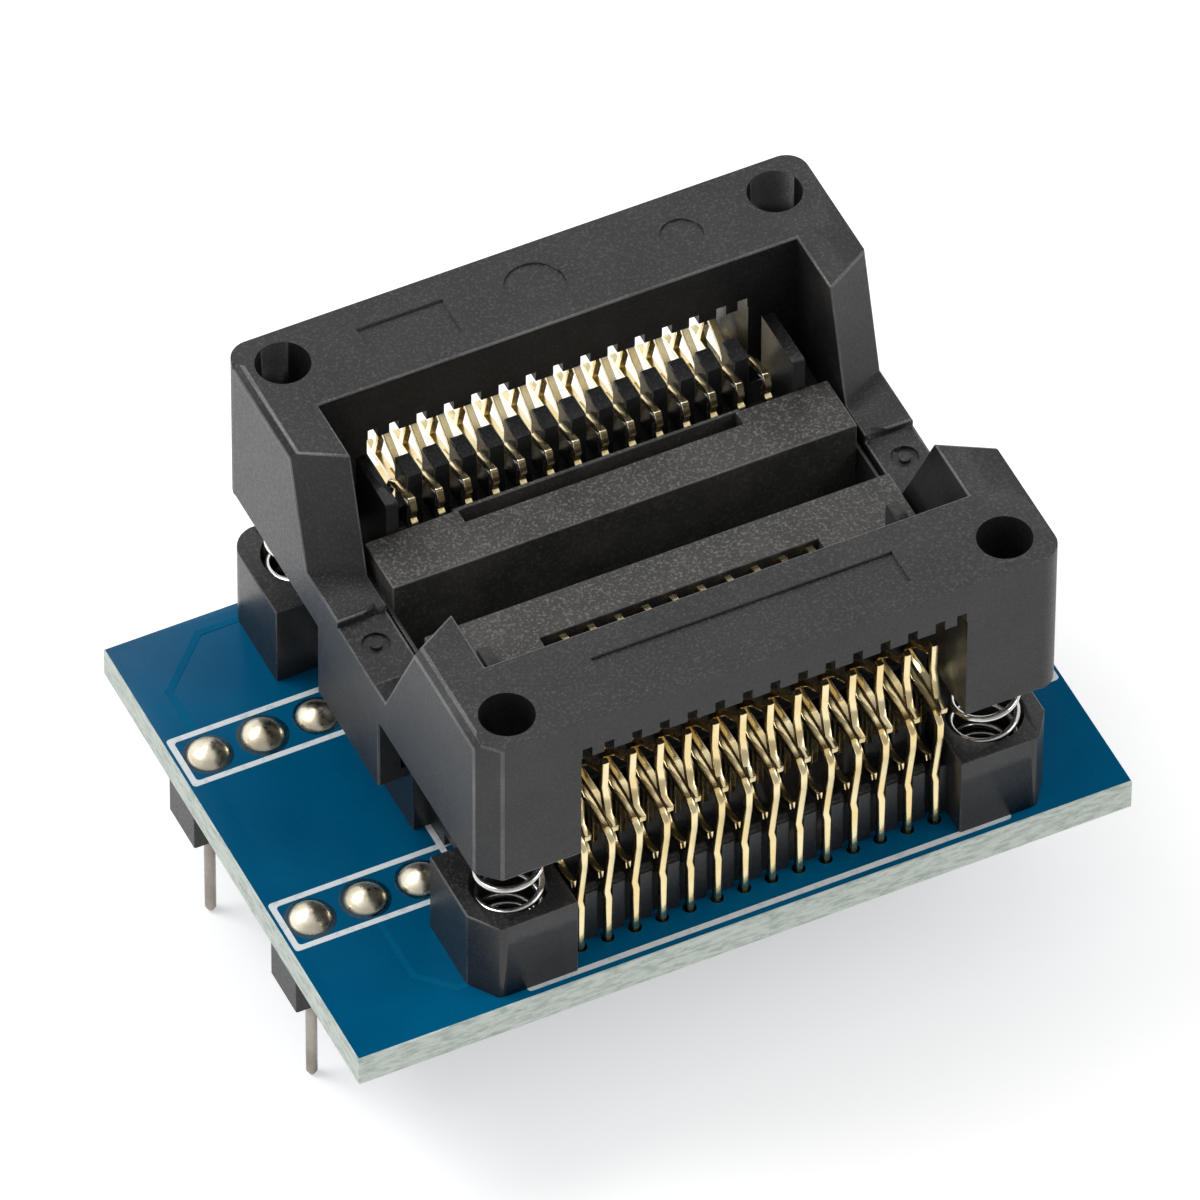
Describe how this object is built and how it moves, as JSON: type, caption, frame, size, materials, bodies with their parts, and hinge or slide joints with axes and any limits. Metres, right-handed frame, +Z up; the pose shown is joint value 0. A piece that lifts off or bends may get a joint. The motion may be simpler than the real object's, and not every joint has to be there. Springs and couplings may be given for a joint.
{
  "type": "open-top ic test socket on an adapter board",
  "caption": "Open-top test socket for a small-outline chip, with a sprung press cover over gold contacts, soldered to a blue board with pins below.",
  "frame": {"origin": "centre of the pattern of board pins in plan, at the pin tips", "axes": "+X along the rows of pins and contacts, to the right; +Y to the back; +Z up, out of the open top of the socket"},
  "size_m": [0.036, 0.0257, 0.0256],
  "materials": {
    "moulding": "satin",
    "seat": "satin",
    "strip": "satin",
    "board": "gloss",
    "contact": "gloss",
    "spring": "satin",
    "pin": "gloss",
    "solder": "gloss"
  },
  "bodies": {
    "base": {"circuit_board": "board", "pin_strip_front": "strip", "pin_strip_back": "strip", "pins_front": "pin", "pins_back": "pin", "pin_solder_front": "solder", "pin_solder_back": "solder", "tail_solder_front": "solder", "tail_solder_back": "solder", "socket_base": "moulding", "chip_seat": "seat", "spring_front_left": "spring", "spring_front_right": "spring", "spring_back_left": "spring", "spring_back_right": "spring", "contact_front_01": "contact", "contact_front_02": "contact", "contact_front_03": "contact", "contact_front_04": "contact", "contact_front_05": "contact", "contact_front_06": "contact", "contact_front_07": "contact", "contact_front_08": "contact", "contact_front_09": "contact", "contact_front_10": "contact", "contact_front_11": "contact", "contact_front_12": "contact", "contact_front_13": "contact", "contact_front_14": "contact", "contact_back_01": "contact", "contact_back_02": "contact", "contact_back_03": "contact", "contact_back_04": "contact", "contact_back_05": "contact", "contact_back_06": "contact", "contact_back_07": "contact", "contact_back_08": "contact", "contact_back_09": "contact", "contact_back_10": "contact", "contact_back_11": "contact", "contact_back_12": "contact", "contact_back_13": "contact", "contact_back_14": "contact"},
    "cover": {"press_cover": "moulding"}
  },
  "joints": [
    {"name": "cover_press", "type": "slide", "parent": "base", "child": "cover", "axis": [0, 0, -1], "range_m": [0, 0.0026], "stiffness_N_per_m": 2000, "springref_m": -0.0015, "deforming": ["spring_front_left", "spring_front_right", "spring_back_left", "spring_back_right"]}
  ]
}
